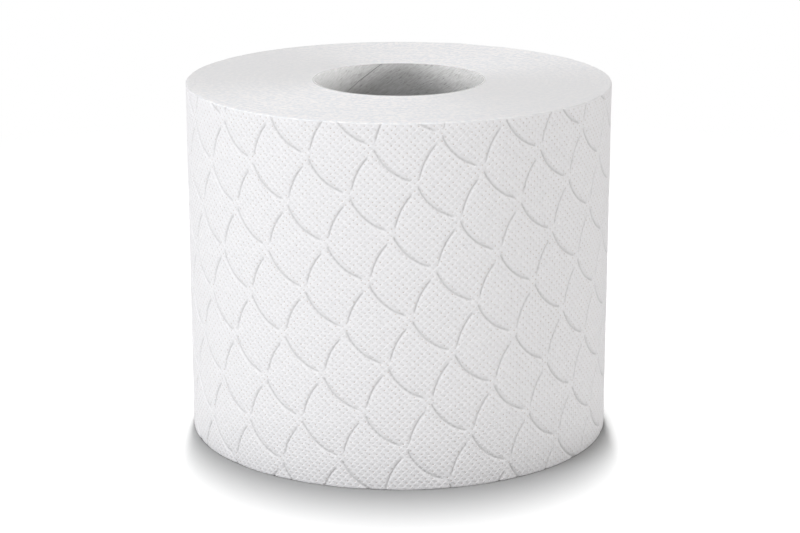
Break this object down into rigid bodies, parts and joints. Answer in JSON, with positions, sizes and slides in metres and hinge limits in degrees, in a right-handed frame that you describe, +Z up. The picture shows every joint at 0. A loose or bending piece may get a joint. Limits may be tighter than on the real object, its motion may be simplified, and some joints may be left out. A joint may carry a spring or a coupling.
{
  "type": "toilet paper roll",
  "caption": "White toilet paper roll standing on its end: soft tissue web with a fish-scale embossed wall, wound on a plain card core that slips over a holder's spindle",
  "frame": {"origin": "centre of the roll's lower end, on the surface it stands on", "axes": "+Z up along the core's axis, -Y towards the viewer of the picture, +X to the right"},
  "size_m": [0.1132, 0.1134, 0.095],
  "materials": {
    "tissue": "matte",
    "card": "matte"
  },
  "bodies": {
    "root": {"tissue_roll": "tissue", "core_tube": "card"}
  },
  "joints": []
}
